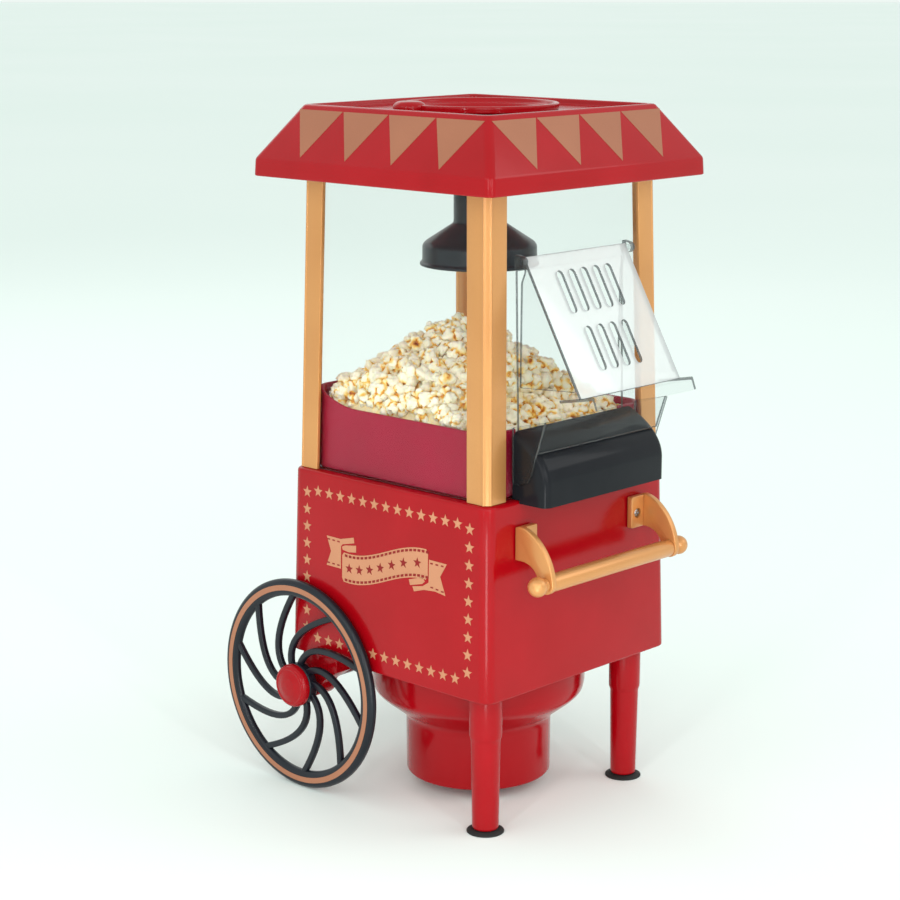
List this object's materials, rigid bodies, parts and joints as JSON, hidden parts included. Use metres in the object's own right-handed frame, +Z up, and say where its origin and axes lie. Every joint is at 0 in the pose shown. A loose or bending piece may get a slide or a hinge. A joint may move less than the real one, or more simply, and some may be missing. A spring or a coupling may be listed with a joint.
{
  "type": "tabletop popcorn machine",
  "caption": "Cart-shaped hot-air popcorn maker: red base on legs and spoked wheels, clear cabin with tilting flap and chute, canopy roof with lift-out cup.",
  "frame": {"origin": "on the floor, at the centre of the object's plan: midway across the wheels, and midway from the flap's grip at the front to the wheels' backs", "axes": "+Z up, -Y the front with the flap, chute and push handle, -X the cart's left wheel side"},
  "size_m": [0.2106, 0.2851, 0.453],
  "materials": {
    "red_plastic": "glossy moulded red",
    "crimson_plastic": "glossy moulded crimson",
    "gilt_plastic": "satin gold-painted plastic",
    "black_plastic": "glossy black",
    "rubber": "matte black rubber",
    "clear_plastic": "clear, polished",
    "steel": "bright plated steel",
    "aluminium": "spun, satin",
    "mica": "matte mica sheet",
    "board": "green laminate",
    "popcorn": "matte, loose popped corn"
  },
  "bodies": {
    "cart": {"base_housing": "red_plastic", "bottom_plate": "red_plastic", "fan_housing": "red_plastic", "front_left_leg": "red_plastic", "front_right_leg": "red_plastic", "roof_canopy": "red_plastic", "roof_ceiling": "red_plastic", "left_axle_bracket": "red_plastic", "right_axle_bracket": "red_plastic", "serving_bowl": "crimson_plastic", "rear_right_post": "gilt_plastic", "rear_left_post": "gilt_plastic", "front_left_post": "gilt_plastic", "front_right_post": "gilt_plastic", "left_handle_bracket": "gilt_plastic", "right_handle_bracket": "gilt_plastic", "left_bar_knob": "gilt_plastic", "right_bar_knob": "gilt_plastic", "handle_bar": "gilt_plastic", "motor_cradle": "black_plastic", "chute_hood": "black_plastic", "feed_funnel": "black_plastic", "feed_bell": "black_plastic", "switch_bezel": "black_plastic", "cord_gland": "black_plastic", "front_left_foot": "rubber", "front_right_foot": "rubber", "left_window": "clear_plastic", "right_window": "clear_plastic", "rear_window": "clear_plastic", "front_window": "clear_plastic", "chute_guard": "clear_plastic", "bottom_screw_1": "steel", "bottom_screw_2": "steel", "bottom_screw_3": "steel", "bottom_screw_4": "steel", "motor": "steel", "air_duct": "steel", "heater_coil": "steel", "thermal_cutout": "steel", "left_bracket_screw": "steel", "right_bracket_screw": "steel", "wheel_axle": "steel", "left_push_nut": "steel", "right_push_nut": "steel", "popping_chamber": "aluminium", "heater_frame": "mica", "rectifier_board": "board", "popcorn_heap": "popcorn"},
    "left_wheel_body": {"left_wheel": "black_plastic", "left_hub_cap": "red_plastic"},
    "right_wheel_body": {"right_wheel": "black_plastic", "right_hub_cap": "red_plastic"},
    "flap_body": {"door_flap": "clear_plastic", "left_hinge_pin": "clear_plastic", "right_hinge_pin": "clear_plastic"},
    "cup_body": {"measuring_cup": "red_plastic"},
    "rocker_body": {"switch_rocker": "red_plastic"},
    "fan_body": {"motor_shaft": "steel", "fan_impeller": "black_plastic"}
  },
  "joints": [
    {"name": "left_wheel_spin", "type": "hinge", "parent": "cart", "child": "left_wheel_body", "pos_m": [-0.0935, 0.0718, 0.0708], "axis": [1, 0, 0], "continuous": true},
    {"name": "right_wheel_spin", "type": "hinge", "parent": "cart", "child": "right_wheel_body", "pos_m": [0.0935, 0.0718, 0.0708], "axis": [1, 0, 0], "continuous": true},
    {"name": "flap_tilt", "type": "hinge", "parent": "cart", "child": "flap_body", "pos_m": [0, -0.0844, 0.361], "axis": [-1, 0, 0], "range_deg": [-16, 30]},
    {"name": "cup_lift", "type": "slide", "parent": "cart", "child": "cup_body", "axis": [0, 0, 1], "range_m": [0, 0.06]},
    {"name": "power_switch", "type": "hinge", "parent": "cart", "child": "rocker_body", "pos_m": [0.045, 0.0856, 0.122], "axis": [-1, 0, 0], "range_deg": [0, 14]},
    {"name": "fan_spin", "type": "hinge", "parent": "cart", "child": "fan_body", "pos_m": [0, -0.0032, 0.077], "axis": [0, 0, 1], "continuous": true}
  ]
}
